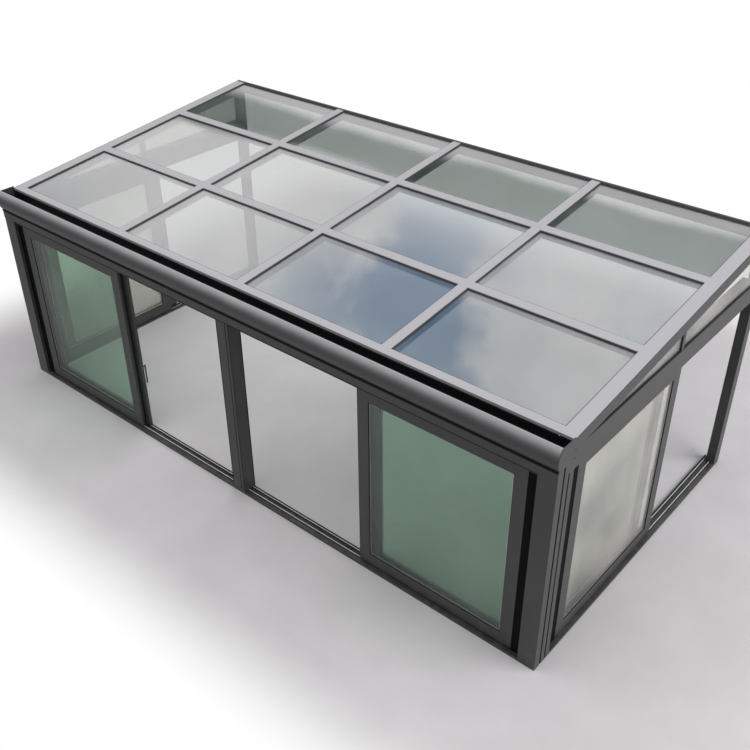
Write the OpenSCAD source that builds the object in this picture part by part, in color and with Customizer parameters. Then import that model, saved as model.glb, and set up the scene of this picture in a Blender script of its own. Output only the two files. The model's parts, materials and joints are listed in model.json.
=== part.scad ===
// Lean-to glass sunroom in aluminium: three glazed walls with sliding sashes, a single-slope glass
// roof on rafters, and a box gutter with a rounded front. The house wall closes the open back.
// Frame: X along the front (left to right), Y from the garden towards the house wall, Z up.
// The front faces of the posts lie at front_y, and the house wall would stand at front_y + room_d.

/* [Overall size] */
// Width over the outer faces of the corner posts
room_w = 8000; // [6400:50:9800]
// Depth from the front of the posts to the house wall
room_d = 4060; // [3600:10:5000]
// Height of the underside of the front and side beams
head_z = 2270; // [1950:5:2800]
// Height of the roof bars at the eave edge, above the tops of the beams
eave_rise = 120; // [100:1:140]
// Slope of the roof in degrees
roof_deg = 6.48; // [5:0.01:9]

/* [Posts] */
// Width of the corner posts and the centre post
post_w = 190; // [120:5:220]
// Depth of the corner posts
post_d = 170; // [165:1:220]
// Width of the rear posts, across the side wall
rear_post_w = 105; // [90:1:150]
// Depth of the rear posts, along the side wall
rear_post_d = 125; // [80:5:200]
// Wall thickness of the hollow posts and beams
tube_t = 5; // [3:0.5:8]
// Width of the vertical groove in the outer side of a corner post
groove_w = 24; // [10:1:40]
// Distance of that groove from the front of the post
groove_y = 84; // [60:1:90]
// Depth of that groove
groove_d = 12; // [5:1:15]

/* [Sliding sashes] */
// Overlap of the two sashes of a front bay when it is closed
front_overlap = 182; // [60:1:260]
// Overlap of the two sashes of a side wall when it is closed
side_overlap = 194; // [60:1:260]
// Thickness of a sash frame
sash_t = 40; // [30:1:42]
// Width of the stiles and rails of a sash
stile_w = 135; // [80:1:160]
// Thickness of the sash glass
sash_glass_t = 12; // [6:1:20]
// Depth of glass held inside the sash frame
glass_bite = 14; // [8:1:30]
// Gap between the edge of a piece of glass and its groove
glass_gap = 0.3; // [0.2:0.1:2]
// Distance of the outer sash from the outer face of the wall
sash_inset = 42; // [38:1:44]
// Distance between the two sash planes
track_pitch = 66; // [62:1:68]
// Width of the cover that closes the outer track beside a corner post
cover_w = 99; // [60:1:150]
// Width of the cover that closes the outer track beside a side jamb
side_cover_w = 150; // [80:1:160]
// Gap between a sash and the post, jamb or cover at the end of its track
stop_gap = 6; // [5:1:12]

/* [Where the sliding sashes stand] */
// Distance of the left front sliding sash from its fully open stop
left_open_at = 162; // [0:1:400]
// Distance of the right front sliding sash from its fully open stop
right_open_at = 6; // [0:1:400]
// Distance of the side sliding sashes from their fully open stop
side_open_at = 9; // [0:1:400]

/* [Tracks] */
// Thickness of the sill plate
sill_t = 14; // [8:1:18]
// Height of the sill front and of its inner lip
sill_z = 30; // [20:1:34]
// Depth of the flat front of the sill
sill_flat = 48; // [20:1:50]
// Width of the sill and of the head channel
track_w = 160; // [155:1:165]
// Height of the top of the running rails
rail_z = 38; // [34:1:42]
// Width of a running rail
rail_w = 10; // [6:1:14]
// Height of the underside of the sash frames
sash_z = 48; // [46:1:60]
// Distance that the head channel hangs below the beam
channel_h = 32; // [25:1:45]
// Distance that a sash top stands up inside the head channel
channel_bite = 16; // [8:1:20]
// Wall thickness of the head channel
channel_t = 8; // [5:1:10]

/* [Rollers and handles] */
// Radius of a sash roller
roller_r = 16; // [12:1:22]
// Width of a sash roller
roller_w = 12; // [8:1:16]
// Gap between a roller and its rail
seat_gap = 0.3; // [0.2:0.1:0.5]
// Distance of a roller from the side edge of its sash
roller_in = 260; // [180:10:500]
// Height of the top of a handle
handle_z = 905; // [800:5:1200]
// Length of the grip of a handle
handle_l = 255; // [120:5:350]
// Distance of the grip from the sash
handle_out = 50; // [30:1:60]
// Diameter of the grip
handle_dia = 18; // [12:1:26]

/* [Roof] */
// Number of roof bays along the front
bays = 4; // [2:1:6]
// Number of rows of glass up the slope
rows = 3; // [1:1:4]
// Height of a rafter with its glass and cap
rafter_h = 128; // [122:1:200]
// Width of the caps over the rafters and cross bars
cap_w = 110; // [80:1:140]
// Width of the caps over the two end rafters
end_cap_w = 142; // [100:1:170]
// Thickness of the caps
cap_t = 18; // [10:1:30]
// Width of a rafter below the glass
rafter_w = 90; // [70:1:100]
// Height of a cross bar below the glass
cross_h = 70; // [40:1:110]
// Width of the tongue of a cap between two panes
tongue_w = 44; // [20:1:48]
// Thickness of the roof glass
roof_glass_t = 10; // [6:1:16]
// Distance from the front of the posts to the edge of the eave cap
eave_in = 206; // [185:1:240]
// Depth of the cap along the eave
eave_cap_w = 90; // [70:1:130]
// Length by which the last row of glass is shorter than the others
last_row_short = 62; // [0:1:200]
// Depth of the eave beam under the eave cap
eave_beam_d = 78; // [60:1:100]
// Width of the flashing strip at the house wall
flashing_w = 30; // [20:1:60]

/* [Gutter] */
// Distance that the rounded front stands out from the posts
nose_out = 40; // [20:1:60]
// Radius of the rounded front
nose_r = 175; // [150:1:220]
// Height of the rounded front
nose_h = 234; // [200:1:260]
// Distance of the foot of the rounded front below the top of the front beam
nose_drop = 93; // [60:1:120]
// Wall thickness of the gutter
gutter_t = 6; // [4:0.5:8]
// Thickness of the trim plate on the side of the roof
trim_t = 6; // [4:0.5:12]

/* [Side gables] */
// Height of the front and side beams
beam_h = 215; // [150:5:230]
// Width of the side jamb strip behind a corner post
jamb_w = 67; // [40:1:100]
// Width of the shadow joint between the corner post and the jamb strip
jamb_joint = 20; // [10:1:30]
// Distance from the front of the posts to the gable mullion
mullion_y = 2150; // [1500:10:2600]
// Width of the gable mullion
mullion_w = 50; // [30:1:80]
// Thickness of the gable glass
gable_glass_t = 10; // [6:1:16]

/* [Hidden] */

frame_colour = "#3b3d40";
cover_colour = "#111214";
bar_colour = "#b9b8bd";
glass_colour = [0.62, 0.74, 0.70, 0.45];
roof_glass_colour = [0.72, 0.76, 0.80, 0.45];

fit_gap = 0.2;
half_w = room_w / 2;
front_y = -(room_d - nose_out) / 2;
beam_top = head_z + beam_h;
eave_z = beam_top + eave_rise;

// Front wall, from the centre post to the corner post
bay_in = post_w / 2;
bay_out = half_w - post_w;
fixed_out = bay_out - cover_w - stop_gap;
front_sash_w = (fixed_out - bay_in - stop_gap + front_overlap) / 2;
front_fixed_x = fixed_out - front_sash_w;
left_door_x = bay_out - stop_gap - left_open_at - front_sash_w;
right_door_x = bay_out - stop_gap - right_open_at - front_sash_w;

// Side wall, from the corner post to the rear post
jamb_y = post_d + jamb_joint;
jamb_end = jamb_y + jamb_w;
rear_post_y = room_d - rear_post_d;
side_sash_w = (rear_post_y - 2 * stop_gap - jamb_end + side_overlap) / 2;
side_fixed_y = jamb_end + stop_gap;
side_door_y = jamb_end + side_cover_w + stop_gap + side_open_at;

// Sash sizes, shared by every sash
sash_top = head_z - channel_h + channel_bite;
sash_h = sash_top - sash_z;
outer_plane = sash_inset;
inner_plane = sash_inset + track_pitch;
rail_1 = outer_plane + sash_t / 2;
rail_2 = inner_plane + sash_t / 2;
handle_in = 28;
front_handle_x = handle_in;
side_handle_x = side_sash_w - handle_in;

// Roof levels, as drops below the tops of the caps
body_drop = cap_t + roof_glass_t;
pane_w = (room_w - 2 * end_cap_w - (bays - 1) * cap_w) / bays;
roof_run = room_d - flashing_w - eave_in - eave_cap_w;
pane_l = (roof_run - (rows - 1) * cap_w + last_row_short) / rows;
pane_play = 3;
pane_bite = (cap_w - tongue_w) / 2 - pane_play;
rafter_y = eave_in + eave_beam_d + fit_gap;
plate_d = 60;
gutter_back = eave_in - gutter_t - fit_gap;
gable_x = half_w - 25;
gable_y_end = rear_post_y - fit_gap;
gutter_floor = beam_top + fit_gap;
nose_foot = beam_top - nose_drop;
nose_top = nose_foot + nose_h;
nose_foot_out = 2;
nose_cy = nose_r - nose_out;
nose_cz = nose_foot + sqrt(pow(nose_r, 2) - pow(nose_cy + nose_foot_out, 2));

function roof_z(y) = eave_z + (y - eave_in) * tan(roof_deg);
function pane_x(k) = -half_w + end_cap_w + k * (pane_w + cap_w);
function pane_y(j) = eave_in + eave_cap_w + j * (pane_l + cap_w);
function rafter_x(k) = pane_x(k) - cap_w / 2;
function rafter_under(y) = roof_z(y) - rafter_h - fit_gap;
// Top of a side beam: level, but cut to the slope where the end rafter comes down on it
function side_beam_top(y) = min(beam_top, rafter_under(y));
wedge_y = max(eave_in + 20, eave_in + (rafter_h + fit_gap - eave_rise) / tan(roof_deg));

// Puts the model's reference point at the middle of its footprint
module site() {
    translate([0, front_y, 0])
        children();
}

// Box from its low corner to its high corner
module block(low, high) {
    translate(low)
        cube(high - low);
}

// Box tube with open ends, running up (run = 2) or along X (run = 0) or Y (run = 1)
module tube(low, high, run) {
    wall = [for (i = [0:2]) i == run ? -1 : tube_t];
    difference() {
        block(low, high);
        block(low + wall, high - wall);
    }
}

// Outline in the YZ plane, drawn as [y, z] points and run along X
module along_x(x_low, x_high) {
    translate([x_low, 0, 0])
        rotate([90, 0, 90])
            linear_extrude(height = x_high - x_low)
                children();
}

// Outline in the XZ plane, drawn as [x, z] points and run along Y
module along_y(y_low, y_high) {
    translate([0, y_high, 0])
        rotate([90, 0, 0])
            linear_extrude(height = y_high - y_low)
                children();
}

// Strip between two drops below the roof plane
module slope_strip(y_low, y_high, drop_low, drop_high) {
    polygon([
        [y_low, roof_z(y_low) - drop_low], [y_high, roof_z(y_high) - drop_low],
        [y_high, roof_z(y_high) - drop_high], [y_low, roof_z(y_low) - drop_high]
    ]);
}

module both_sides() {
    for (side = [0, 1])
        mirror([side, 0, 0])
            children();
}

// ---- Posts, jambs and covers ----

module corner_posts() {
    color(frame_colour) site() both_sides()
        difference() {
            block([bay_out, 0, 0], [half_w, post_d, beam_top]);
            block([bay_out + tube_t, tube_t, -1],
                  [half_w - groove_d - tube_t, post_d - tube_t, beam_top + 1]);
            block([half_w - groove_d, groove_y, -1], [half_w + 1, groove_y + groove_w, beam_top + 1]);
        }
}

module centre_post() {
    color(frame_colour) site()
        tube([-post_w / 2, 0, 0], [post_w / 2, track_w, beam_top], 2);
}

module rear_posts() {
    inner = half_w - rear_post_w;
    color(frame_colour) site() both_sides()
        difference() {
            along_x(inner, half_w)
                polygon([
                    [rear_post_y, sill_z + fit_gap], [room_d, sill_z + fit_gap],
                    [room_d, rafter_under(room_d)], [rear_post_y, rafter_under(rear_post_y)]
                ]);
            block([inner + tube_t, rear_post_y + tube_t, 0],
                  [half_w - tube_t, room_d - tube_t, roof_z(room_d)]);
        }
}

module side_jambs() {
    color(frame_colour) site() both_sides() {
        block([half_w - track_w, post_d + fit_gap, sill_z + fit_gap],
              [half_w - jamb_joint, jamb_y, head_z - fit_gap]);
        block([half_w - track_w, jamb_y, sill_z + fit_gap], [half_w, jamb_end, head_z - fit_gap]);
    }
}

// Dark covers that close the outer track beside the corner posts and the side jambs
module track_covers() {
    low = rail_z + fit_gap;
    high = head_z - channel_t - fit_gap;
    color(cover_colour) site() both_sides() {
        block([bay_out - cover_w, outer_plane, low], [bay_out - fit_gap, outer_plane + sash_t, high]);
        block([half_w - outer_plane - sash_t, jamb_end + fit_gap, low],
              [half_w - outer_plane, jamb_end + side_cover_w, high]);
    }
}

// ---- Tracks ----

// Section of a sill: depth from the outer face of the wall, and height
module sill_section() {
    lip = track_w - 6;
    polygon([
        [0, 0], [track_w, 0], [track_w, sill_z], [lip, sill_z], [lip, sill_t],
        [rail_2 + rail_w / 2, sill_t], [rail_2 + rail_w / 2, rail_z],
        [rail_2 - rail_w / 2, rail_z], [rail_2 - rail_w / 2, sill_t],
        [rail_1 + rail_w / 2, sill_t], [rail_1 + rail_w / 2, rail_z],
        [rail_1 - rail_w / 2, rail_z], [rail_1 - rail_w / 2, sill_t],
        [sill_flat, sill_t], [sill_flat, sill_z], [0, sill_z]
    ]);
}

// Section of a head channel: a plate under the beam, and the three guides that hang from it on
// both sides of the sash planes. Each piece is screwed to the one above it.
module channel_section() {
    low = head_z - channel_h;
    guide_top = head_z - channel_t - fit_gap;
    plate_y = outer_plane - stop_gap - channel_t;
    inner_y = inner_plane + sash_t + stop_gap;
    fin = (track_pitch - sash_t) / 2;
    translate([plate_y, head_z - channel_t])
        square([track_w - plate_y, channel_t - fit_gap]);
    translate([plate_y, low])
        square([channel_t, guide_top - low]);
    translate([(rail_1 + rail_2 - fin) / 2, low])
        square([fin, guide_top - low]);
    translate([inner_y, low])
        square([track_w - inner_y, guide_top - low]);
}

module front_sills() {
    color(frame_colour) site() both_sides()
        along_x(bay_in + fit_gap, bay_out - fit_gap)
            sill_section();
}

module side_sills() {
    color(frame_colour) site() both_sides()
        difference() {
            along_y(post_d + fit_gap, room_d)
                translate([half_w, 0])
                    mirror([1, 0])
                        sill_section();
            block([half_w - track_w - 1, rear_post_y - fit_gap, sill_z],
                  [half_w + 1, room_d + 1, rail_z + 1]);
            block([half_w - track_w - 1, post_d, sill_z], [half_w + 1, jamb_end + fit_gap, rail_z + 1]);
        }
}

module front_head_channels() {
    color(frame_colour) site() both_sides()
        along_x(bay_in + fit_gap, bay_out - fit_gap)
            channel_section();
}

module side_head_channels() {
    color(frame_colour) site() both_sides()
        along_y(jamb_end + fit_gap, rear_post_y - fit_gap)
            translate([half_w, 0])
                mirror([1, 0])
                    channel_section();
}

// ---- Beams ----

module front_fascia() {
    fascia_up = 13;
    color(frame_colour) site()
        block([-half_w, -tube_t - fit_gap, head_z + fascia_up],
              [half_w, -fit_gap, nose_foot - fit_gap]);
}

module front_beams() {
    color(frame_colour) site() both_sides()
        tube([bay_in + fit_gap, 0, head_z], [bay_out - fit_gap, track_w, beam_top], 0);
}

// Outline of a side beam seen from the side, drawn in by a wall thickness all along its length,
// with the seat that is cut for the end rafter
module side_beam_outline(wall) {
    low = post_d + fit_gap;
    high = rear_post_y - fit_gap;
    polygon([
        [low, head_z + wall], [high, head_z + wall], [high, beam_top - wall],
        [wedge_y, beam_top - wall], [eave_in - wall, side_beam_top(eave_in) - wall],
        [eave_in - wall, beam_top - wall], [low, beam_top - wall]
    ]);
}

module side_beams() {
    color(frame_colour) site() both_sides()
        difference() {
            along_x(half_w - track_w, half_w)
                side_beam_outline(0);
            along_x(half_w - track_w + tube_t, half_w - tube_t)
                side_beam_outline(tube_t);
        }
}

// Beam behind the front beams, with a riser on it behind the gutter: they carry the lower ends of
// the rafters and of the glass
module eave_beam() {
    end = bay_out - fit_gap;
    back = eave_in + eave_beam_d;
    riser = beam_top + fit_gap;
    color(frame_colour) site() {
        tube([-end, track_w + fit_gap, nose_foot + fit_gap], [end, back, beam_top], 0);
        difference() {
            along_x(-end, end)
                polygon([
                    [eave_in, riser], [back, riser],
                    [back, roof_z(back) - body_drop], [eave_in, roof_z(eave_in) - body_drop]
                ]);
            block([-half_w, eave_in + tube_t, riser + tube_t],
                  [half_w, back - tube_t, roof_z(eave_in) - body_drop - tube_t]);
        }
    }
}

// Beam along the house wall that carries the upper ends of the rafters
module wall_plate() {
    color(frame_colour) site()
        along_x(-half_w + end_cap_w + fit_gap, half_w - end_cap_w - fit_gap)
            slope_strip(room_d - plate_d, room_d, body_drop, rafter_h);
}

// ---- Roof ----

module rafter(x_low, x_high, y_low, y_high) {
    difference() {
        along_x(x_low, x_high)
            slope_strip(y_low, y_high, body_drop, rafter_h);
        along_x(x_low + tube_t, x_high - tube_t)
            slope_strip(y_low - 1, y_high + 1, body_drop + tube_t, rafter_h - tube_t);
    }
}

module end_rafters() {
    color(frame_colour) site() both_sides()
        rafter(half_w - end_cap_w, half_w, eave_in + fit_gap, room_d);
}

module rafters() {
    color(frame_colour) site()
        for (k = [1:bays - 1])
            rafter(rafter_x(k) - rafter_w / 2, rafter_x(k) + rafter_w / 2,
                   rafter_y, room_d - plate_d - fit_gap);
}

// Cross bars under the joints between the rows of glass
module cross_bars() {
    side = (cap_w - rafter_w) / 2;
    color(frame_colour) site()
        for (k = [0:bays - 1], j = [1:rows - 1]) {
            low = pane_x(k) - (k == 0 ? 0 : side) + fit_gap;
            high = pane_x(k) + pane_w + (k == bays - 1 ? 0 : side) - fit_gap;
            y = pane_y(j) - cap_w;
            along_x(low, high)
                slope_strip(y + side, y + cap_w - side, body_drop, body_drop + cross_h);
        }
}

// A cap over the edges of the panes, and the tongue below it that stands between them
module cap(y_low, y_high) {
    slope_strip(y_low, y_high, 0, cap_t);
}

module cap_tongue(y_low, y_high) {
    slope_strip(y_low, y_high, cap_t - 1, body_drop - fit_gap);
}

// Pressure caps over the rafters, the cross bars and the eave
module roof_caps() {
    y_low = eave_in + eave_cap_w + fit_gap;
    y_high = room_d - flashing_w - fit_gap;
    color(bar_colour) site() {
        for (k = [1:bays - 1]) {
            along_x(rafter_x(k) - cap_w / 2, rafter_x(k) + cap_w / 2)
                cap(y_low, y_high);
            along_x(rafter_x(k) - tongue_w / 2, rafter_x(k) + tongue_w / 2)
                cap_tongue(y_low, y_high);
        }
        both_sides() {
            along_x(half_w - end_cap_w, half_w)
                cap(y_low, y_high);
            along_x(half_w - end_cap_w + pane_bite + pane_play, half_w)
                cap_tongue(y_low, y_high);
        }
        for (k = [0:bays - 1], j = [1:rows - 1])
            along_x(pane_x(k) + fit_gap, pane_x(k) + pane_w - fit_gap) {
                y = pane_y(j) - cap_w;
                cap(y, y + cap_w);
                cap_tongue(y + (cap_w - tongue_w) / 2, y + (cap_w + tongue_w) / 2);
            }
        along_x(-half_w, half_w) {
            cap(eave_in, eave_in + eave_cap_w);
            cap_tongue(eave_in, eave_in + eave_cap_w - pane_bite - pane_play);
        }
    }
}

module roof_glass() {
    color(roof_glass_colour) site()
        for (k = [0:bays - 1], j = [0:rows - 1]) {
            high = j == rows - 1 ? room_d - flashing_w / 3 : pane_y(j) + pane_l + pane_bite;
            along_x(pane_x(k) - pane_bite, pane_x(k) + pane_w + pane_bite)
                slope_strip(pane_y(j) - pane_bite, high, cap_t + fit_gap, body_drop - fit_gap);
        }
}

// Strip that seals the top edge of the roof against the house wall
module wall_flashing() {
    flashing_up = 4;
    color(cover_colour) site()
        along_x(-half_w, half_w)
            slope_strip(room_d - flashing_w, room_d, -flashing_up, cap_t);
}

// ---- Gutter and roof sides ----

// Outline of the rounded front, between its outer and inner radius and in front of the beam
module nose_section() {
    difference() {
        intersection() {
            translate([nose_cy, nose_cz])
                circle(r = nose_r, $fn = 180);
            translate([-nose_out - 1, nose_foot])
                square([nose_out + 60, nose_h]);
        }
        translate([nose_cy, nose_cz])
            circle(r = nose_r - gutter_t, $fn = 180);
        translate([-fit_gap, nose_foot - 1])
            square([100, nose_drop + 1]);
    }
}

// The rounded front, the trough floor and its back wall
module gutter() {
    end = half_w - fit_gap;
    floor_top = gutter_floor + gutter_t;
    reach = max(abs(gutter_floor - nose_cz), abs(floor_top - nose_cz));
    floor_y = nose_cy - sqrt(pow(nose_r - gutter_t, 2) - pow(reach, 2)) + fit_gap;
    back_top = roof_z(gutter_back) - body_drop - 8;
    color(bar_colour) site()
        along_x(-end, end) {
            nose_section();
            translate([floor_y, gutter_floor])
                square([gutter_back + gutter_t - floor_y, gutter_t]);
            translate([gutter_back, floor_top + fit_gap])
                square([gutter_t, back_top - floor_top]);
        }
}

// Plates that close the gutter ends and run up the sides of the roof to the house wall
module verge_trims() {
    plate_y = eave_in - 40;
    color(frame_colour) site() both_sides()
        along_x(half_w + fit_gap, half_w + trim_t) {
            intersection() {
                translate([nose_cy, nose_cz])
                    circle(r = nose_r, $fn = 180);
                translate([-nose_out - 1, nose_foot])
                    square([nose_out + eave_in + 1, nose_h]);
            }
            polygon([
                [plate_y, nose_foot], [eave_in + 15, nose_foot], [wedge_y, beam_top],
                [room_d, roof_z(room_d) - rafter_h], [room_d, roof_z(room_d)],
                [eave_in, roof_z(eave_in)], [plate_y, roof_z(eave_in)]
            ]);
        }
}

// ---- Gables above the side beams ----

module gable_mullions() {
    y = mullion_y + mullion_w;
    color(frame_colour) site() both_sides()
        along_x(gable_x - 45, gable_x + 20)
            polygon([
                [mullion_y, beam_top + fit_gap], [y, beam_top + fit_gap],
                [y, rafter_under(y)], [mullion_y, rafter_under(mullion_y)]
            ]);
}

// A pane between the side beam and the end rafter
module gable_pane(y_low, y_high) {
    along_x(gable_x - gable_glass_t / 2, gable_x + gable_glass_t / 2)
        polygon([
            [y_low, beam_top + glass_gap], [y_high, beam_top + glass_gap],
            [y_high, rafter_under(y_high)], [y_low, rafter_under(y_low)]
        ]);
}

module gable_glass() {
    thin_end = wedge_y + 90;
    color(glass_colour) site() both_sides() {
        gable_pane(thin_end, mullion_y - glass_gap);
        gable_pane(mullion_y + mullion_w + glass_gap, gable_y_end);
    }
}

// ---- Sashes ----
// A sash is drawn with its low corner at the origin: width along X, thickness along Y, height along Z.

module sash_frame(w) {
    difference() {
        block([0, 0, 0], [w, sash_t, sash_h]);
        block([stile_w, -1, stile_w], [w - stile_w, sash_t + 1, sash_h - stile_w]);
        block([stile_w - glass_bite - glass_gap, (sash_t - sash_glass_t) / 2 - glass_gap,
               stile_w - glass_bite - glass_gap],
              [w - stile_w + glass_bite + glass_gap, (sash_t + sash_glass_t) / 2 + glass_gap,
               sash_h - stile_w + glass_bite + glass_gap]);
    }
}

module sash_glass(w) {
    block([stile_w - glass_bite, (sash_t - sash_glass_t) / 2, stile_w - glass_bite],
          [w - stile_w + glass_bite, (sash_t + sash_glass_t) / 2, sash_h - stile_w + glass_bite]);
}

// Setting blocks that stand a fixed sash on its rail
module setting_blocks(w) {
    for (x = [roller_in, w - roller_in])
        block([x - 40, sash_t / 2 - rail_w / 2, rail_z + fit_gap - sash_z],
              [x + 40, sash_t / 2 + rail_w / 2, 1]);
}

module roller_pockets(w) {
    for (x = [roller_in, w - roller_in])
        block([x - roller_r - 4, (sash_t - roller_w) / 2 - 2, -1],
              [x + roller_r + 4, (sash_t + roller_w) / 2 + 2, 2 * roller_r]);
}

// Rollers on their axles, standing on the rail
module sash_rollers(w) {
    z = rail_z + seat_gap + roller_r - sash_z;
    for (x = [roller_in, w - roller_in])
        translate([x, sash_t / 2, z])
            rotate([90, 0, 0]) {
                cylinder(r = roller_r, h = roller_w, center = true, $fn = 64);
                cylinder(r = 4, h = roller_w + 4 - 2 * fit_gap, center = true, $fn = 32);
            }
}

// L-shaped pull: a plate on the stile, a short arm and a round grip hanging from it
module sash_handle(x, face_y, out) {
    plate_t = 6;
    z = handle_z - sash_z;
    grip_y = face_y + out * (handle_out - handle_dia / 2);
    plate_lo = min(face_y + out * fit_gap, face_y + out * plate_t);
    plate_hi = max(face_y + out * fit_gap, face_y + out * plate_t);
    block([x - 20, plate_lo, z - 200], [x + 20, plate_hi, z + 20]);
    translate([x, face_y + out * plate_t / 2, z - handle_dia / 2])
        rotate([-90 * out, 0, 0])
            cylinder(d = handle_dia, h = handle_out - plate_t / 2 - handle_dia / 2, $fn = 32);
    translate([x, grip_y, z - handle_l])
        cylinder(d = handle_dia, h = handle_l, $fn = 32);
}

// A sash placed in the right half of the front wall, in one of its two planes
module front_sash_at(x, plane) {
    translate([x, plane, sash_z])
        children();
}

// A sash placed in the right side wall: its width runs towards the house, its outside faces +X
module side_sash_at(y, plane) {
    translate([half_w - plane, y, sash_z])
        rotate([0, 0, 90])
            children();
}

module front_fixed_frames() {
    color(frame_colour) site() both_sides()
        front_sash_at(front_fixed_x, outer_plane) {
            sash_frame(front_sash_w);
            setting_blocks(front_sash_w);
        }
}

module front_fixed_glass() {
    color(glass_colour) site() both_sides()
        front_sash_at(front_fixed_x, outer_plane)
            sash_glass(front_sash_w);
}

module side_fixed_frames() {
    color(frame_colour) site() both_sides()
        side_sash_at(side_fixed_y, inner_plane) {
            sash_frame(side_sash_w);
            setting_blocks(side_sash_w);
        }
}

module side_fixed_glass() {
    color(glass_colour) site() both_sides()
        side_sash_at(side_fixed_y, inner_plane)
            sash_glass(side_sash_w);
}

// The frame of a sliding sash, with the pockets for its rollers
module door_frame(w) {
    color(frame_colour)
        difference() {
            sash_frame(w);
            roller_pockets(w);
        }
}

module door_glass(w) {
    color(glass_colour)
        sash_glass(w);
}

module door_handle(x, face_y, out) {
    color(cover_colour)
        sash_handle(x, face_y, out);
}

module door_rollers(w) {
    color(cover_colour)
        sash_rollers(w);
}

module left_front_door() {
    site() mirror([1, 0, 0])
        front_sash_at(left_door_x, inner_plane)
            children();
}

module right_front_door() {
    site()
        front_sash_at(right_door_x, inner_plane)
            children();
}

module left_side_door() {
    site() mirror([1, 0, 0])
        side_sash_at(side_door_y, outer_plane)
            children();
}

module right_side_door() {
    site()
        side_sash_at(side_door_y, outer_plane)
            children();
}

module left_front_door_frame() { left_front_door() door_frame(front_sash_w); }
module left_front_door_glass() { left_front_door() door_glass(front_sash_w); }
module left_front_door_handle() { left_front_door() door_handle(front_handle_x, sash_t, 1); }
module left_front_door_rollers() { left_front_door() door_rollers(front_sash_w); }

module right_front_door_frame() { right_front_door() door_frame(front_sash_w); }
module right_front_door_glass() { right_front_door() door_glass(front_sash_w); }
module right_front_door_handle() { right_front_door() door_handle(front_handle_x, sash_t, 1); }
module right_front_door_rollers() { right_front_door() door_rollers(front_sash_w); }

module left_side_door_frame() { left_side_door() door_frame(side_sash_w); }
module left_side_door_glass() { left_side_door() door_glass(side_sash_w); }
module left_side_door_handle() { left_side_door() door_handle(side_handle_x, sash_t, 1); }
module left_side_door_rollers() { left_side_door() door_rollers(side_sash_w); }

module right_side_door_frame() { right_side_door() door_frame(side_sash_w); }
module right_side_door_glass() { right_side_door() door_glass(side_sash_w); }
module right_side_door_handle() { right_side_door() door_handle(side_handle_x, sash_t, 1); }
module right_side_door_rollers() { right_side_door() door_rollers(side_sash_w); }

corner_posts();
centre_post();
rear_posts();
side_jambs();
track_covers();
front_sills();
side_sills();
front_head_channels();
side_head_channels();
front_fascia();
front_beams();
side_beams();
eave_beam();
wall_plate();
end_rafters();
rafters();
cross_bars();
roof_caps();
roof_glass();
wall_flashing();
gutter();
verge_trims();
gable_mullions();
gable_glass();
front_fixed_frames();
front_fixed_glass();
side_fixed_frames();
side_fixed_glass();
left_front_door_frame();
left_front_door_glass();
left_front_door_handle();
left_front_door_rollers();
right_front_door_frame();
right_front_door_glass();
right_front_door_handle();
right_front_door_rollers();
left_side_door_frame();
left_side_door_glass();
left_side_door_handle();
left_side_door_rollers();
right_side_door_frame();
right_side_door_glass();
right_side_door_handle();
right_side_door_rollers();
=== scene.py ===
"""Looks of the lean-to glass greenhouse: finishes, seals, screws, floor, light and camera."""
import json
import math

import bmesh
import bpy
from mathutils import Matrix, Vector


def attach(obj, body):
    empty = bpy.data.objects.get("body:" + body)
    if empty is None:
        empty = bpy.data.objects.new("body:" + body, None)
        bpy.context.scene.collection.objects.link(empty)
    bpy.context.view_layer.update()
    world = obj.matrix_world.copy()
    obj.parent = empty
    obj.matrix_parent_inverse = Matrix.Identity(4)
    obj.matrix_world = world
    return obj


# Sizes that the construction uses too, in metres
HALF_W = 4.0
DEPTH = 4.060
FRONT = -2.010
POST_BACK = -1.850
CENTRE_POST_W = 0.190
TUBE_T = 0.005
RAIL_TOP = 0.038
BEAM_TOP = 2.485
FASCIA_FRONT = -2.0152
FASCIA_FOOT = 2.283
NOSE_FOOT = 2.392
NOSE_TOP = 2.626
TROUGH = -1.988
TRIM_T = 0.006
HANDLE_PLATE_T = 0.006

# Roof: the cap tops rise from the eave by the slope
EAVE_IN = 0.206
EAVE_Z = 2.605
SLOPE = math.tan(math.radians(6.48))
CAP = 0.110
EAVE_CAP = 0.090
END_CAP = 0.142
CAP_T = 0.018
BODY_DROP = 0.028
RAFTER_H = 0.128
FLASHING = 0.030
BAYS, ROWS = 4, 3
LAST_ROW_SHORT = 0.062
PANE_W = (2 * HALF_W - 2 * END_CAP - (BAYS - 1) * CAP) / BAYS
PANE_L = (DEPTH - FLASHING - EAVE_IN - EAVE_CAP - (ROWS - 1) * CAP + LAST_ROW_SHORT) / ROWS

# Panes of the walls
GABLE_IN = 0.025
GABLE_GLASS_T = 0.010
SASH_GLASS_T = 0.012
GLASS_BITE = 0.014
DOORS = ("left_front_door", "right_front_door", "left_side_door", "right_side_door")

# Seals, gaskets, screws, and black strips of painted shade and shadow
ROOF_SEAL_W = 0.008
ROOF_SEAL_H = 0.014
SASH_SEAL_W = 0.006
SASH_SEAL_H = 0.009
SASH_STRIP_W = 0.007
SASH_STRIP_H = 0.002
GABLE_SEAL_W = 0.008
GABLE_SEAL_T = 0.004
# The strip under the gutter nose is black as a painted shadow line.
NOSE_SHADOW_STRIP_H = 0.020
NOSE_SHADOW_STRIP_T = 0.006
FASCIA_GASKET_H = 0.011
FASCIA_GASKET_T = 0.004
CORNER_POST_W = 0.190
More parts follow.
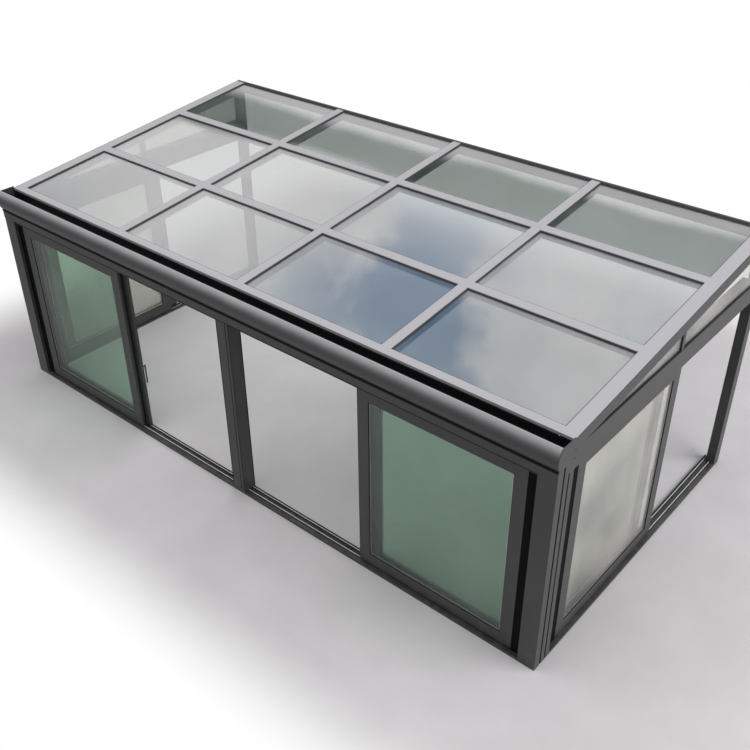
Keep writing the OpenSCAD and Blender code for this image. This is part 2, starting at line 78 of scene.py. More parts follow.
# The strips on the centre post are black as painted shade at its grooves and edges.
POST_SHADE_STRIP_W = 0.006
POST_SHADE_STRIP_T = 0.0025
POST_JOINT_X = 0.044
SILL_TOP = 0.060
GASKET_ROUND = 0.0008
POST_SHADE_STRIP_GAP = 0.001
CORNER_SHADE_STRIP_L = 0.010
NOSE_SHADOW_STRIP_IN = 0.002
PLUG_T = 0.005
PLUG_IN = 0.001
HANDLE_SCREW_DROP = 0.060
HANDLE_SCREW_STEP = 0.100
HANDLE_SCREW = {"Radius": 0.005, "Height": 0.003}
PLATE_SCREW = {"Radius": 0.007, "Height": 0.004}
# Distance along the side and height of the screws of an end plate
END_PLATE_SCREWS = [(-1.782, 2.487), (-1.782, 2.403)]

# Camera: place in metres, turn and tilt in degrees, lens in millimetres
CAMERA_PLACE = (6.7706, -7.4948, 7.3289)
CAMERA_YAW = 40.572
CAMERA_PITCH = 33.753
CAMERA_ROLL = -0.426
CAMERA_LENS = 46.402

# Tones of the coated frame, the floor and the light around
ANTHRACITE = (0.033, 0.035, 0.035)
FLOOR_DARK = (0.500, 0.484, 0.494)
FLOOR_PALE = (0.550, 0.533, 0.543)
AMBIENT = (0.51, 0.51, 0.52)
WHITE = (1.0, 1.0, 1.0)

# Where the grey of the floor starts to fade and where it is gone, on each side of the origin
FLOOR_EAST = (7.6, 10.5)
FLOOR_WEST = (4.9, 6.6)
FLOOR_NORTH = (4.8, 6.1)
FLOOR_SOUTH = (3.15, 4.3)

# The sky that mirrors see: a hazy sun, a blue gap in the clouds, and below them a dark eave and
# a pale wall, each starting at a height for every metre to the north
SUN = (-0.737, 0.491, 0.466)
SUN_TONE = (1.00, 0.985, 0.99)
BLUE_GAP = (-0.535, 0.535, 0.654)
BLUE_TONE = (0.16, 0.28, 0.47)
CLOUD_GREY = (0.80, 0.81, 0.86)
CLOUD_WHITE = (0.92, 0.90, 0.90)
CLOUD_BLUE = (0.66, 0.71, 0.82)
EAVE_RATIO = 0.872
EAVE_TONE = (0.055, 0.085, 0.070)
WALL_RATIO = 0.786
WALL_TONE = (0.80, 0.78, 0.79)


# ---- Camera ----

def place_camera():
    data = bpy.data.cameras.new("camera")
    data.sensor_width = 36
    data.lens = CAMERA_LENS
    data.clip_end = 200
    camera = bpy.data.objects.new("camera", data)
    bpy.context.scene.collection.objects.link(camera)
    turn = (Matrix.Rotation(math.radians(CAMERA_YAW), 4, "Z")
            @ Matrix.Rotation(math.radians(90 - CAMERA_PITCH), 4, "X")
            @ Matrix.Rotation(math.radians(CAMERA_ROLL), 4, "Z"))
    camera.matrix_world = Matrix.Translation(CAMERA_PLACE) @ turn
    bpy.context.scene.camera = camera


# ---- Shader building ----

class Value:
    """A number in a material's node tree. Arithmetic on it adds Math nodes."""

    def __init__(self, finish, socket):
        self.finish = finish
        self.socket = socket

    def __add__(self, other):
        return self.finish.math("ADD", self, other)

    __radd__ = __add__

    def __sub__(self, other):
        return self.finish.math("SUBTRACT", self, other)

    def __rsub__(self, other):
        return self.finish.math("SUBTRACT", other, self)

    def __mul__(self, other):
        return self.finish.math("MULTIPLY", self, other)

    __rmul__ = __mul__

    def __pow__(self, other):
        return self.finish.math("POWER", self, other)


class Finish:
    """A material, or the world, and the one way its nodes are made."""

    def __init__(self, owner):
        self.owner = owner
        owner.use_nodes = True
        self.tree = owner.node_tree
        self.tree.nodes.clear()

    def node(self, kind, settings=None, **inputs):
        made = self.tree.nodes.new("ShaderNode" + kind)
        for name, value in (settings or {}).items():
            setattr(made, name, value)
        for name, value in inputs.items():
            key = int(name[1:]) if name[1:].isdigit() else name.replace("_", " ")
            socket = made.inputs[key]
            if isinstance(value, Value):
                value = value.socket
            if isinstance(value, bpy.types.NodeSocket):
                self.tree.links.new(value, socket)
            elif hasattr(socket.default_value, "__len__") and len(socket.default_value) == 4:
                socket.default_value = (*value, 1)
            else:
                socket.default_value = value
        return made

    def math(self, operation, a, b=0.0):
        return Value(self, self.node("Math", {"operation": operation}, i0=a, i1=b).outputs[0])

    def place(self):
        return self.node("TexCoord").outputs["Object"]

    def axis(self, name):
        return Value(self, self.node("SeparateXYZ", Vector=self.place()).outputs[name])

    def stretched(self, scale, turn=(0, 0, 0)):
        return self.node("Mapping", Vector=self.place(), Scale=scale, Rotation=turn).outputs[0]

    def noise(self, scale, detail=2.0, roughness=0.5, vector=None):
        made = self.node("TexNoise", Scale=scale, Detail=detail, Roughness=roughness,
                         Vector=vector or self.place())
        return Value(self, made.outputs[0])

    def steps(self, value, low, high):
        """0 below low, 1 above high, smooth between."""
        made = self.node("MapRange", {"interpolation_type": "SMOOTHSTEP"},
                         Value=value, From_Min=low, From_Max=high)
        return Value(self, made.outputs[0])

    def blend(self, factor, a, b):
        made = self.node("Mix", {"data_type": "RGBA"})
        for index, value in ((0, factor), (6, a), (7, b)):
            if isinstance(value, Value):
                value = value.socket
            if isinstance(value, bpy.types.NodeSocket):
                self.tree.links.new(value, made.inputs[index])
            elif index:
                made.inputs[index].default_value = (*value, 1)
            else:
                made.inputs[index].default_value = value
        return made.outputs[2]

    def bump(self, height, distance, strength=1.0):
        return self.node("Bump", Height=height, Distance=distance, Strength=strength).outputs[0]

    def painted_rail_highlight(self):
        """1 on level faces at the height of the rail tops, 0 elsewhere: the mask of a painted
        highlight.
        """
        facing = self.node("SeparateXYZ", Vector=self.node("TexCoord").outputs["Normal"])
        level = self.steps(Value(self, facing.outputs["Z"]), 0.8, 0.95)
        height = self.axis("Z")
        above = self.steps(height, RAIL_TOP - 0.0020, RAIL_TOP - 0.0005)
        return level * above * (1 - self.steps(height, RAIL_TOP + 0.0005, RAIL_TOP + 0.0020))

    def show(self, shader):
        self.node("OutputMaterial", Surface=shader.outputs[0])


def new_finish(name):
    return Finish(bpy.data.materials.new(name))


def powder_coat(name, colour, roughness, dust, rail_highlight=False):
    """Powder-coated aluminium: fine orange peel, slow cloudy dust and splashes near the ground.
    The level heads of the sill's running rail can take a painted highlight, where light would
    catch them."""
    f = new_finish(name)
    clouds = f.noise(1.7, 4.0, 0.55)
    streaks = f.noise(9.0, 3.0, 0.6, f.stretched((1.0, 1.0, 0.12)))
    low = 1 - f.steps(f.axis("Z"), 0.02, 0.55)
    splash = low * f.steps(f.noise(14.0, 5.0, 0.65), 0.42, 0.72)
    film = (f.steps(clouds, 0.40, 0.75) * 0.6 + f.steps(streaks, 0.50, 0.80) * 0.4) * dust
    dusty = f.blend(film, colour, [c * 0.80 + 0.05 for c in colour])
    tone = f.blend(splash * 0.30, dusty, (0.15, 0.14, 0.12))
    peel = f.noise(420.0, 1.0)
    if rail_highlight:
        # Painted highlight: light grey on the level rail heads.
        tone = f.blend(f.painted_rail_highlight() * (0.55 + streaks * 0.6), tone, (0.56, 0.56, 0.57))
    shader = f.node("BsdfPrincipled", Base_Color=tone,
                    Roughness=roughness + clouds * 0.14 - 0.07 + splash * 0.2,
                    Normal=f.bump(peel, 0.00025, 0.35))
    f.show(shader)
    return f.owner


def gutter_coat(name, inside, foot, lip_highlight):
    """Coated gutter: painted shade makes the inside of the trough near black, and a painted
    highlight makes the nose paler as it rises to its top edge.
    """
    f = new_finish(name)
    clouds = f.noise(2.3, 4.0, 0.55)
    # Painted highlight: the coat turns paler towards the top of the nose, where it would catch the
    # sky.
    rise = f.steps(f.axis("Z") + clouds * 0.02, NOSE_FOOT + 0.070, NOSE_TOP + 0.018)
    shell = f.blend(rise ** 3, foot, lip_highlight)
    # Painted shade: behind the front wall of the trough the colour is near black.
    tone = f.blend(f.steps(f.axis("Y"), TROUGH - 0.002, TROUGH), shell, inside)
    f.show(f.node("BsdfPrincipled", Base_Color=tone, Roughness=0.26 + clouds * 0.12,
                  Normal=f.bump(f.noise(420.0, 1.0), 0.00025, 0.3)))
    return f.owner


def seal_rubber(name, colour=(0.006, 0.006, 0.0065), sheen=0.12):
    """Black glazing rubber with a soft bloom."""
    f = new_finish(name)
    bloom = f.steps(f.noise(22.0, 4.0, 0.6), 0.45, 0.8)
    tone = f.blend(bloom * 0.3, colour, [c + 0.012 for c in colour])
    f.show(f.node("BsdfPrincipled", Base_Color=tone, Roughness=0.62 + bloom * 0.2,
                  Specular_IOR_Level=sheen, Normal=f.bump(f.noise(700.0, 2.0), 0.0002, 0.3)))
    return f.owner


def mill_strip(name, colour=(0.62, 0.63, 0.64), metal=0.5):
    """Drawn aluminium strip: fine lines along its length."""
    f = new_finish(name)
    lines = f.noise(160.0, 3.0, 0.5, f.stretched((1.0, 1.0, 0.08)))
    tone = f.blend(f.steps(lines, 0.35, 0.7), colour, [c * 0.8 for c in colour])
    f.show(f.node("BsdfPrincipled", Base_Color=tone, Metallic=metal, Roughness=0.30 + lines * 0.15,
                  Normal=f.bump(lines, 0.0002, 0.3)))
    return f.owner


def moulded(name, colour, roughness):
    """Moulded or cast piece with a fine grain."""
    f = new_finish(name)
    grain = f.noise(260.0, 3.0, 0.6)
    wear = f.steps(f.noise(30.0, 3.0, 0.6), 0.5, 0.8)
    tone = f.blend(wear * 0.3, colour, [c * 1.5 + 0.02 for c in colour])
    f.show(f.node("BsdfPrincipled", Base_Color=tone, Roughness=roughness - 0.05 + wear * 0.12,
                  Normal=f.bump(grain, 0.0003, 0.4)))
    return f.owner


def window_glass(name, tint, veil, veil_colour, head_on=0.04, rim=5.0):
    """A pane: what is behind it, tinted, a mirror by angle, and a thin uneven film of dust."""
    f = new_finish(name)
    film = f.steps(f.noise(0.9, 3.0, 0.5), 0.25, 0.80)
    clear = f.node("BsdfTransparent", Color=tint)
    dust = f.node("BsdfDiffuse", Color=veil_colour)
    body = f.node("MixShader", i0=film * veil, i1=clear.outputs[0], i2=dust.outputs[0])
    shine = f.node("BsdfGlossy", Color=WHITE, Roughness=0.02)
    facing = Value(f, f.node("LayerWeight", Blend=0.5).outputs["Facing"])
    mirror = facing ** rim * (1 - head_on) + head_on
    pane = f.node("MixShader", i0=mirror, i1=body.outputs[0], i2=shine.outputs[0])
    f.show(pane)
    return f.owner


# ---- Pieces ----

def piece(name, mesh, finish, body):
    """A finished mesh as a piece that moves with a body."""
    made = bpy.data.objects.new(name, mesh)
    bpy.context.scene.collection.objects.link(made)
    mesh.materials.clear()
    mesh.materials.append(finish)
    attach(made, body)
    return made


def solids_of(name):
    """Lowest and highest corner of each separate solid of a CAD node, from left to right and
    then from front to back."""
    work = bmesh.new()
    work.from_mesh(frame["nodes"][name].data)
    bmesh.ops.remove_doubles(work, verts=work.verts, dist=1e-5)
    left, found = set(work.verts), []
    while left:
        group, edge = set(), [left.pop()]
        while edge:
            corner = edge.pop()
            group.add(corner)
            for link in corner.link_edges:
                other = link.other_vert(corner)
                if other in left:
                    left.discard(other)
                    edge.append(other)
        found.append([Vector(pick(v.co[k] for v in group) for k in range(3))
                      for pick in (min, max)])
    work.free()
    return sorted(found, key=lambda box: (round(box[0].x, 4), box[0].y))


class Tree:
    """A Geometry Nodes tree with named inputs."""

    def __init__(self, name, inputs):
        self.tree = bpy.data.node_groups.new(name, "GeometryNodeTree")
        face = self.tree.interface
        face.new_socket("Geometry", in_out="INPUT", socket_type="NodeSocketGeometry")
        self.keys = {}
        for label, kind in inputs.items():
            socket = face.new_socket(label, in_out="INPUT", socket_type="NodeSocket" + kind)
            self.keys[label] = socket.identifier
        face.new_socket("Geometry", in_out="OUTPUT", socket_type="NodeSocketGeometry")
        self.inputs = self.tree.nodes.new("NodeGroupInput").outputs

    def node(self, kind, settings=None, **inputs):
        made = self.tree.nodes.new(kind)
        for name, value in (settings or {}).items():
            setattr(made, name, value)
        for name, value in inputs.items():
            key = int(name[1:]) if name[1:].isdigit() else name.replace("_", " ")
            if isinstance(value, bpy.types.NodeSocket):
                self.tree.links.new(value, made.inputs[key])
            else:
                made.inputs[key].default_value = value
        return made

    def math(self, operation, a, b=0.0):
        return self.node("ShaderNodeMath", {"operation": operation}, i0=a, i1=b).outputs[0]

    def finish(self, geometry):
        whole = self.node("GeometryNodeRealizeInstances", Geometry=geometry)
        painted = self.node("GeometryNodeSetMaterial", Geometry=whole.outputs[0],
                            Material=self.inputs["Material"])
        out = self.tree.nodes.new("NodeGroupOutput")
        self.tree.links.new(painted.outputs[0], out.inputs[0])

    def make(self, name, start, values, finish, body, slot):
        """Runs the tree on the start mesh and keeps the result as a plain piece."""
        maker = bpy.data.objects.new(name + "_maker", start)
        bpy.context.scene.collection.objects.link(maker)
        run = maker.modifiers.new("maker", "NODES")
        run.node_group = self.tree
        for label, value in {**values, "Material": finish}.items():
            run[self.keys[label]] = value
        bpy.context.view_layer.update()
        graph = bpy.context.evaluated_depsgraph_get()
        mesh = bpy.data.meshes.new_from_object(maker.evaluated_get(graph))
        bpy.data.objects.remove(maker)
        mesh.name = name
        return piece(name, mesh, finish, body)


def ring_tree():
    """Mitred rectangular rings around panes: one at every point, flat on the XY plane."""
    t = Tree("pane_ring", {"Width": "Float", "Length": "Float", "Band": "Float",
                           "Height": "Float", "Slope": "Float", "Material": "Material"})
    i = t.inputs
    middle = t.math("SUBTRACT", i["Width"], i["Band"])
    along = t.math("SUBTRACT", i["Length"], i["Band"])
    path = t.node("GeometryNodeCurvePrimitiveQuadrilateral", {"mode": "RECTANGLE"},
                  i0=middle, i1=along)
    # A mitre thins a swept band by the root of a half
    swept = t.math("MULTIPLY", i["Band"], math.sqrt(2))
    section = t.node("GeometryNodeCurvePrimitiveQuadrilateral", {"mode": "RECTANGLE"},
                     i0=swept, i1=i["Height"])
    ring = t.node("GeometryNodeCurveToMesh", Curve=path.outputs[0],
                  Profile_Curve=section.outputs[0])
    flat = t.node("GeometryNodeSetShadeSmooth", Geometry=ring.outputs[0], Shade_Smooth=False)
    rings = t.node("GeometryNodeInstanceOnPoints", Points=i["Geometry"],
                   Instance=flat.outputs[0])
    whole = t.node("GeometryNodeRealizeInstances", Geometry=rings.outputs[0])
    where = t.node("GeometryNodeInputPosition")
    parts = t.node("ShaderNodeSeparateXYZ", i0=where.outputs[0])
    rise = t.math("MULTIPLY", parts.outputs[1], i["Slope"])
    lift = t.node("ShaderNodeCombineXYZ", Z=rise)
    leaned = t.node("GeometryNodeSetPosition", Geometry=whole.outputs[0],
                    Offset=lift.outputs[0])
    t.finish(leaned.outputs[0])
    return t


def screw_tree():
    """Pan-head screws standing up from the XY plane, each with a recessed drive."""
    t = Tree("screw_heads", {"Radius": "Float", "Height": "Float", "Material": "Material"})
    i = t.inputs
    taper = t.math("MULTIPLY", i["Radius"], 0.72)
    head = t.node("GeometryNodeMeshCone", {"fill_type": "NGON"}, Vertices=16,
                  Radius_Top=taper, Radius_Bottom=i["Radius"], Depth=i["Height"])
    deep = t.math("MULTIPLY", i["Height"], -0.6)
    rim = t.node("GeometryNodeExtrudeMesh", {"mode": "FACES"}, Mesh=head.outputs["Mesh"],
                 Selection=head.outputs["Top"], Offset_Scale=0.0)
    shrunk = t.node("GeometryNodeScaleElements", {"domain": "FACE"}, Geometry=rim.outputs[0],
                    Selection=rim.outputs["Top"], Scale=0.5)
    sunk = t.node("GeometryNodeExtrudeMesh", {"mode": "FACES"}, Mesh=shrunk.outputs[0],
                  Selection=rim.outputs["Top"], Offset_Scale=deep)
    heads = t.node("GeometryNodeInstanceOnPoints", Points=i["Geometry"],
                   Instance=sunk.outputs[0])
    t.finish(heads.outputs[0])
    return t


def points_mesh(name, places):
    mesh = bpy.data.meshes.new(name)
    mesh.from_pydata(places, [], [])
    return mesh


def turned(made, matrix):
    """Puts a mesh in its place, keeping the object at the origin."""
    made.data.transform(matrix)
    made.data.update()


# ---- Floor, light and background ----

def lay_floor():
    """A pale floor: grey near the house, and white like the background further out."""
    bpy.ops.mesh.primitive_plane_add(size=120)
    floor = bpy.context.object
    floor.name = "studio_floor"
    f = new_finish("pale_floor")
    east, north = f.axis("X"), f.axis("Y")
    edges = (1 - f.steps(east, *FLOOR_EAST)) * (1 - f.steps(east * -1, *FLOOR_WEST))
    edges = edges * (1 - f.steps(north, *FLOOR_NORTH)) * (1 - f.steps(north * -1, *FLOOR_SOUTH))
    speckle = f.steps(f.noise(0.9, 5.0, 0.6), 0.3, 0.75)
    tone = f.blend(speckle, FLOOR_DARK, FLOOR_PALE)
    matte = f.node("BsdfPrincipled", Base_Color=tone, Roughness=0.8, Specular_IOR_Level=0.2)
    white = f.node("Emission", Color=WHITE, Strength=1.0)
    seen = Value(f, f.node("LightPath").outputs["Is Camera Ray"])
    both = f.node("MixShader", i0=(1 - edges) * seen, i1=matte.outputs[0],
                  i2=white.outputs[0])
    f.show(both)
    floor.data.materials.append(f.owner)


def soft_box(name, place, aim, size, power):
    """A square lamp that mirrors don't see: they see the sky."""
    data = bpy.data.lights.new(name, "AREA")
    data.shape = "SQUARE"
    data.size = size
    data.energy = power
    lamp = bpy.data.objects.new(name, data)
    bpy.context.scene.collection.objects.link(lamp)
    lamp.location = place
    lamp.rotation_euler = (Vector(aim) - Vector(place)).to_track_quat("-Z", "Y").to_euler()
    lamp.visible_glossy = False
    return lamp


def sky():
    """White background, even light, and an overcast sky that only mirrors see."""
    world = bpy.data.worlds.new("studio")
    bpy.context.scene.world = world
    f = Finish(world)
    ray = f.node("LightPath")
    direction = f.node("TexCoord").outputs["Generated"]
    parts = f.node("SeparateXYZ", Vector=direction)
    east, north, up = (Value(f, parts.outputs[k]) for k in "XYZ")

    def near(spot, low, high):
        return f.steps(east * spot[0] + north * spot[1] + up * spot[2], low, high)

    patches = Value(f, f.node("TexNoise", Scale=5.2, Detail=4.0, Roughness=0.55,
                              Vector=direction).outputs[0])
    warm = Value(f, f.node("TexNoise", Scale=9.0, Detail=3.0, Vector=direction).outputs[0])
    white = f.blend(f.steps(warm, 0.40, 0.62), CLOUD_GREY, CLOUD_WHITE)
    clouds = f.blend(f.steps(patches, 0.32, 0.47), CLOUD_BLUE, white)
    lit = f.blend(near(SUN, 0.986, 0.999), clouds, SUN_TONE)
    gap = near(BLUE_GAP, 0.989, 0.999) * (1 - f.steps(patches, 0.44, 0.57))
    opened = f.blend(gap, lit, BLUE_TONE)
    ragged = (patches - 0.5) * 0.03
    above = f.steps(up - north * EAVE_RATIO + ragged, -0.012, 0.012)
    below = f.steps(north * WALL_RATIO - up + ragged, -0.010, 0.006)
    shade = f.blend(below, EAVE_TONE, WALL_TONE)
    mirrored = f.blend(above * f.steps(up, 0.02, 0.30), shade, opened)
    plain = f.blend(Value(f, ray.outputs["Is Glossy Ray"]), AMBIENT, mirrored)
    seen = f.blend(Value(f, ray.outputs["Is Camera Ray"]), plain, WHITE)
    back = f.node("Background", Color=seen, Strength=1.0)
    f.node("OutputWorld", Surface=back.outputs[0])


def lamps():
    """Soft light from the right, softer light from above, and a little inside the room."""
    soft_box("key_softbox", place=(14.0, 2.0, 8.5), aim=(0, 0, 1.2), size=12.0, power=1900)
    soft_box("top_softbox", place=(-2.0, -3.0, 12.0), aim=(0, -1.0, 0), size=12.0, power=800)
    room = soft_box("room_softbox", place=(-1.95, 0.1, 2.25), aim=(-1.95, 0.1, 0), size=3.4,
                    power=46)
    room.visible_camera = False


# ---- The greenhouse ----

def paint_nodes(nodes):
    frame_paint = powder_coat("anthracite_coat", ANTHRACITE, roughness=0.40, dust=0.25)
    # The sill coat paints a highlight on the rail heads.
    sill_paint = powder_coat("sill_coat", ANTHRACITE, roughness=0.40, dust=0.25, rail_highlight=True)
    # Painted reflection: the bars get a pale grey that stands in for the bright sky mirrored on
    # their dark tops.
    bar_paint_with_painted_sheen = powder_coat("roof_bar_painted_sheen_coat", (0.36, 0.355, 0.37), roughness=0.38, dust=0.2)
    # The gutter's trough colour is painted shade, and its paler top colour is a painted highlight.
    gutter_paint = gutter_coat("gutter_coat", inside=(0.006, 0.006, 0.006),
                               foot=(0.033, 0.034, 0.035), lip_highlight=(0.34, 0.335, 0.35))
    # Painted shade: the covers and jamb channels in this slot are near black with little sheen, as
    # the dark of the recesses.
    recess_shade_trim = seal_rubber("black_trim", (0.003, 0.003, 0.0035), sheen=0.06)
    # One glass in two copies: the front panes get a deeper green tint as painted shade of the
    # shaded room and greenery behind them, and the side and gable panes a paler, heavier veil that
    # is partly dust and partly a painted reflection of the bright sky and wall.
    wall = window_glass("front_glass_painted_shade", tint=(0.77, 0.865, 0.805), veil=0.08,
                        veil_colour=(0.58, 0.64, 0.60))
    side = window_glass("side_glass_painted_reflection", tint=(0.88, 0.89, 0.865), veil=0.24,
                        veil_colour=(0.74, 0.72, 0.67))
    roof = window_glass("roof_glass", tint=(0.70, 0.725, 0.71), veil=0.12,
                        veil_colour=(0.70, 0.69, 0.71), head_on=0.22, rim=3.0)
    handle = moulded("handle_black", (0.014, 0.014, 0.015), roughness=0.35)
    roller = moulded("roller_nylon", (0.06, 0.06, 0.06), roughness=0.5)
    finishes = {"frame": frame_paint, "roof_bars": bar_paint_with_painted_sheen, "gutter": gutter_paint,
                "black_trim": recess_shade_trim, "wall_glass": wall, "roof_glass": roof,
                "handles": handle, "rollers": roller}
    slots = {s["node"]: s["material_slot"] for s in frame["record"]["subparts"]}
    for name, node in nodes.items():
        node.data.materials.clear()
        finish = finishes[slots[name]]
        # Side and gable panes take the copy with the paler veil of painted reflection.
        if finish == wall and ("side" in name or "gable" in name):
            finish = side
        if name == "wall_flashing":
            finish = frame_paint
        if name.endswith("_sills"):
            finish = sill_paint
        node.data.materials.append(finish)
    return finishes


def roof_z(y):
    """Height of the cap tops, at a distance behind the front of the posts."""
    return EAVE_Z + (y - EAVE_IN) * SLOPE


def seal_roof(rings, rubber):
    """A black rubber ring on every roof pane, against the edges of the caps; it also stands as
    painted shade on the sides of the caps.
    """
    places = {}
    for bay in range(BAYS):
        for row in range(ROWS):
            x = -HALF_W + END_CAP + bay * (PANE_W + CAP) + PANE_W / 2
            short = LAST_ROW_SHORT if row == ROWS - 1 else 0.0
            y = EAVE_IN + EAVE_CAP + row * (PANE_L + CAP) + (PANE_L - short) / 2
            places.setdefault(PANE_L - short, []).append((x, y, 0))
    base = EAVE_Z - EAVE_IN * SLOPE - CAP_T + ROOF_SEAL_H / 2
    for count, (length, row_places) in enumerate(places.items()):
        name = "roof_seals_" + str(count + 1)
        made = rings.make(name, points_mesh(name + "_points", row_places),
                          {"Width": PANE_W, "Length": length, "Band": ROOF_SEAL_W,
                           "Height": ROOF_SEAL_H, "Slope": SLOPE},
                          rubber, "frame", "black_trim")
        turned(made, Matrix.Translation((0, FRONT, base)))


def seal_sash(rings, name, pane, body, rubber, strip):
    """Rubber and a bright glazing strip around both faces of a sash pane."""
    low, high = pane
    size, centre = high - low, (low + high) / 2
    front = size.y < size.x
    width = (size.x if front else size.y) - 2 * GLASS_BITE
    turn = Matrix.Rotation(math.radians(90), 4, "X")
    if not front:
        turn = Matrix.Rotation(math.radians(90), 4, "Z") @ turn
    for label, finish, slot, inset, band, rise in (
            ("seals", rubber, "black_trim", 0.0, SASH_SEAL_W, SASH_SEAL_H),
            ("strips", strip, "roof_bars", SASH_SEAL_W, SASH_STRIP_W, SASH_STRIP_H)):
        offset = SASH_GLASS_T / 2 + rise / 2
        made = rings.make(name + "_" + label,
                          points_mesh(name + "_points", [(0, 0, offset), (0, 0, -offset)]),
                          {"Width": width - 2 * inset,
                           "Length": size.z - 2 * GLASS_BITE - 2 * inset,
                           "Band": band, "Height": rise, "Slope": 0.0}, finish, body, slot)
        turned(made, Matrix.Translation(centre) @ turn)


def seal_sashes(rings, rubber, strip):
    for door in DOORS:
        seal_sash(rings, door, solids_of(door + "_glass")[0], door, rubber, strip)
    for wall in ("front", "side"):
        for hand, pane in zip(("left", "right"), solids_of(wall + "_fixed_glass")):
            seal_sash(rings, hand + "_" + wall + "_fixed", pane, "frame", rubber, strip)


def ring_prism(name, outline, band, x_low, x_high, finish):
    """A closed band inside a convex outline of (y, z) points, standing between two x planes."""
    count = len(outline)
    sides = []
    for k in range(count):
        start, end = Vector(outline[k]), Vector(outline[(k + 1) % count])
        along = (end - start).normalized()
        sides.append((start, along, Vector((-along.y, along.x))))
    inner = []
    for k in range(count):
        start, along, inward = sides[k]
        before = sides[k - 1]
        shift = before[0] + before[2] * band - (start + inward * band)
        reach = shift.cross(before[1]) / along.cross(before[1])
        inner.append(start + inward * band + along * reach)
    corners = []
    for x in (x_low, x_high):
        corners += [(x, p[0], p[1]) for p in outline] + [(x, p[0], p[1]) for p in inner]
    faces = []
    far = 2 * count
    for k in range(count):
        n = (k + 1) % count
        faces += [(k, count + k, count + n, n),
                  (far + k, far + n, far + count + n, far + count + k),
                  (k, n, far + n, far + k),
                  (count + k, far + count + k, far + count + n, count + n)]
    mesh = bpy.data.meshes.new(name)
    mesh.from_pydata(corners, [], faces)
    work = bmesh.new()
    work.from_mesh(mesh)
    bmesh.ops.recalc_face_normals(work, faces=work.faces)
    work.to_mesh(mesh)
    work.free()
    return piece(name, mesh, finish, "frame")


def rounded_strips(name, boxes, finish):
    """Narrow strips or plugs with rounded edges, one for each lowest and highest corner."""
    work = bmesh.new()
    for low, high in boxes:
        size = [b - a for a, b in zip(low, high)]
        middle = [(a + b) / 2 for a, b in zip(low, high)]
        shape = Matrix.Translation(middle) @ Matrix.Diagonal((*size, 1))
        made = bmesh.ops.create_cube(work, size=1, matrix=shape)
        edges = dict.fromkeys(edge for corner in made["verts"] for edge in corner.link_edges)
        bmesh.ops.bevel(work, geom=list(edges), offset=GASKET_ROUND, segments=2, profile=0.5,
                        affect="EDGES")
    mesh = bpy.data.meshes.new(name)
    work.to_mesh(mesh)
    work.free()
    return piece(name, mesh, finish, "frame")


def plug_tubes(plastic):
    """Plugs in the open ends of the end rafters and the side beams, towards the house wall."""
    boxes = []
    for low, high in solids_of("end_rafters"):
        foot = high.z - RAFTER_H + BODY_DROP
        boxes.append(((low.x + TUBE_T, high.y - PLUG_IN - PLUG_T, foot + TUBE_T + PLUG_IN),
                      (high.x - TUBE_T, high.y - PLUG_IN, high.z - TUBE_T - PLUG_IN)))
    for low, high in solids_of("side_beams"):
        boxes.append(((low.x + TUBE_T, high.y - PLUG_IN - PLUG_T, low.z + TUBE_T),
                      (high.x - TUBE_T, high.y - PLUG_IN, BEAM_TOP - TUBE_T)))
    rounded_strips("tube_plugs", boxes, plastic)


def seal_and_shade_front(rubber):
    """A black strip under the gutter nose as a painted shadow line, a gasket along the foot of the
    fascia, and black strips on the centre post as painted shade at its grooves and edges.
    """
    end = HALF_W - NOSE_SHADOW_STRIP_IN
    # Painted shadow: a black strip under the overhang of the nose.
    nose = ((-end, FASCIA_FRONT - NOSE_SHADOW_STRIP_T, NOSE_FOOT - NOSE_SHADOW_STRIP_H),
            (end, FASCIA_FRONT, NOSE_FOOT))
    end = HALF_W - CORNER_POST_W
    fascia = ((-end, FRONT - FASCIA_GASKET_T, FASCIA_FOOT - FASCIA_GASKET_H),
              (end, FRONT, FASCIA_FOOT))
    rounded_strips("eave_shadow_strip_and_gasket", [nose, fascia], rubber)
    half, wide = CENTRE_POST_W / 2, POST_SHADE_STRIP_W / 2
    top = FASCIA_FOOT - FASCIA_GASKET_H - POST_SHADE_STRIP_GAP
    # Painted shade: black strips at the grooves and edges of the centre post.
    boxes = [((x - wide, FRONT - POST_SHADE_STRIP_T, SILL_TOP), (x + wide, FRONT, top))
             for x in (2 * wide - half, POST_JOINT_X, half - 2 * wide)]
    boxes.append(((half, POST_BACK - CORNER_SHADE_STRIP_L, SILL_TOP), (half + wide, POST_BACK, top)))
    rounded_strips("centre_post_shade_strips", boxes, rubber)


def seal_gables(rubber):
    """Rubber bands around both faces of the gable panes, under the sloped roof bars."""
    centre = HALF_W - GABLE_IN
    for k, box in enumerate(solids_of("gable_glass")):
        low, high = box
        side = 1 if low.x > 0 else -1
        front_top = roof_z(low.y - FRONT) - RAFTER_H
        back_top = roof_z(high.y - FRONT) - RAFTER_H
        outline = [(low.y, low.z), (high.y, low.z), (high.y, back_top), (low.y, front_top)]
        for label, out in (("outer", 1), ("inner", -1)):
            face = side * centre + out * side * GABLE_GLASS_T / 2
            edge = face + out * side * GABLE_SEAL_T
            ring_prism("gable_" + str(k + 1) + "_seal_" + label, outline, GABLE_SEAL_W,
                       min(face, edge), max(face, edge), rubber)


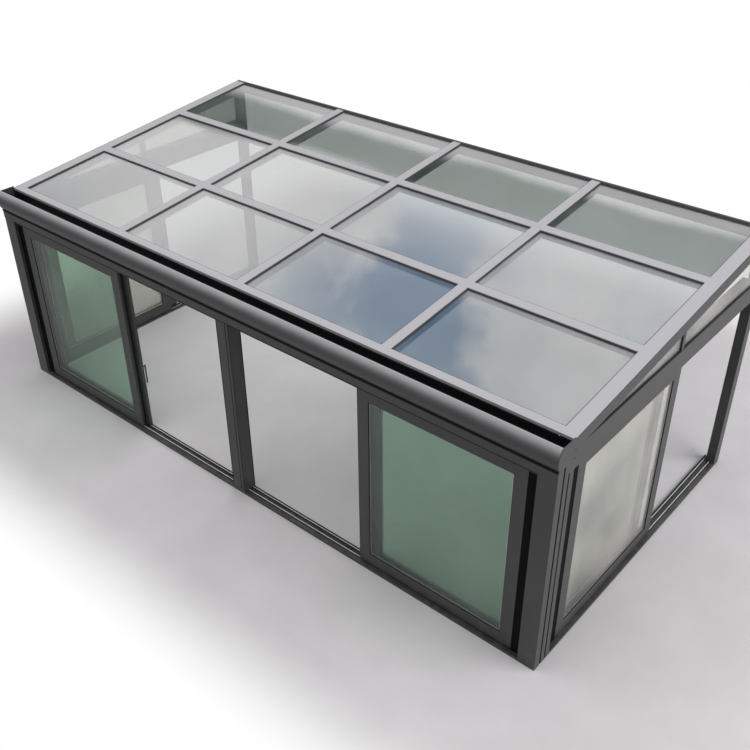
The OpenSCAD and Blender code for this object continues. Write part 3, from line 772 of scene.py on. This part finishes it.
def fix_screws(screws, steel, black):
    """Two screws in each end plate of the gutter and two in the plate of every handle."""
    for hand, side in (("right", 1), ("left", -1)):
        name = hand + "_end_plate_screws"
        spots = [(-side * height, along, 0) for along, height in END_PLATE_SCREWS]
        made = screws.make(name, points_mesh(name + "_points", spots),
                           PLATE_SCREW, steel, "frame", "roof_bars")
        face = Matrix.Rotation(math.radians(90 * side), 4, "Y")
        spot = Matrix.Translation((side * (HALF_W + TRIM_T), 0, 0))
        turned(made, spot @ face)
    for door in DOORS:
        low, high = solids_of(door + "_handle")[0]
        front = "front" in door
        middle = (low + high) / 2
        name = door + "_handle_screws"
        spots = [(0, 0, 0), (0, HANDLE_SCREW_STEP, 0)]
        made = screws.make(name, points_mesh(name + "_points", spots),
                           HANDLE_SCREW, black, door, "handles")
        if front:
            turn = Matrix.Rotation(math.radians(-90), 4, "X")
            spot = (middle.x, low.y + HANDLE_PLATE_T, high.z - HANDLE_SCREW_DROP)
        elif low.x > 0:
            turn = Matrix.Rotation(math.radians(-90), 4, "Y") @ Matrix.Rotation(
                math.radians(-90), 4, "Z")
            spot = (high.x - HANDLE_PLATE_T, middle.y, high.z - HANDLE_SCREW_DROP)
        else:
            turn = Matrix.Rotation(math.radians(90), 4, "Y") @ Matrix.Rotation(
                math.radians(-90), 4, "Z")
            spot = (low.x + HANDLE_PLATE_T, middle.y, high.z - HANDLE_SCREW_DROP)
        turned(made, Matrix.Translation(spot) @ turn)


place_camera()
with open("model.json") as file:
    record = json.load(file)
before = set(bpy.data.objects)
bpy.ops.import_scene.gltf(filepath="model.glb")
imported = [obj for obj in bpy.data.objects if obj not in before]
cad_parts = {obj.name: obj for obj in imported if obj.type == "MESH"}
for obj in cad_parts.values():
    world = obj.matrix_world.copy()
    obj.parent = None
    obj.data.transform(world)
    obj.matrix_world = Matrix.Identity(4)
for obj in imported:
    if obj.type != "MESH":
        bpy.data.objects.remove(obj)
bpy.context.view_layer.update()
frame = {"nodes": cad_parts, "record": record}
finishes = paint_nodes(frame["nodes"])
lay_floor()
sky()
lamps()
rings = ring_tree()
rubber = seal_rubber("glazing_rubber")
strip = mill_strip("glazing_strip")
# Partly real rubber and partly painted shade: the dark rings make the cap sides dark as if out of
# the light.
bar_edge_rubber_and_shade = seal_rubber("bar_edge_rubber_and_painted_shade", (0.055, 0.056, 0.058), sheen=0.3)
seal_roof(rings, bar_edge_rubber_and_shade)
seal_sashes(rings, rubber, strip)
seal_gables(rubber)
seal_and_shade_front(rubber)
plug_tubes(moulded("end_plug_plastic", (0.022, 0.022, 0.023), roughness=0.55))
steel = mill_strip("screw_steel", (0.05, 0.05, 0.05), metal=0.3)
fix_screws(screw_tree(), steel, finishes["handles"])

view = bpy.context.scene.view_settings
view.view_transform = "Standard"
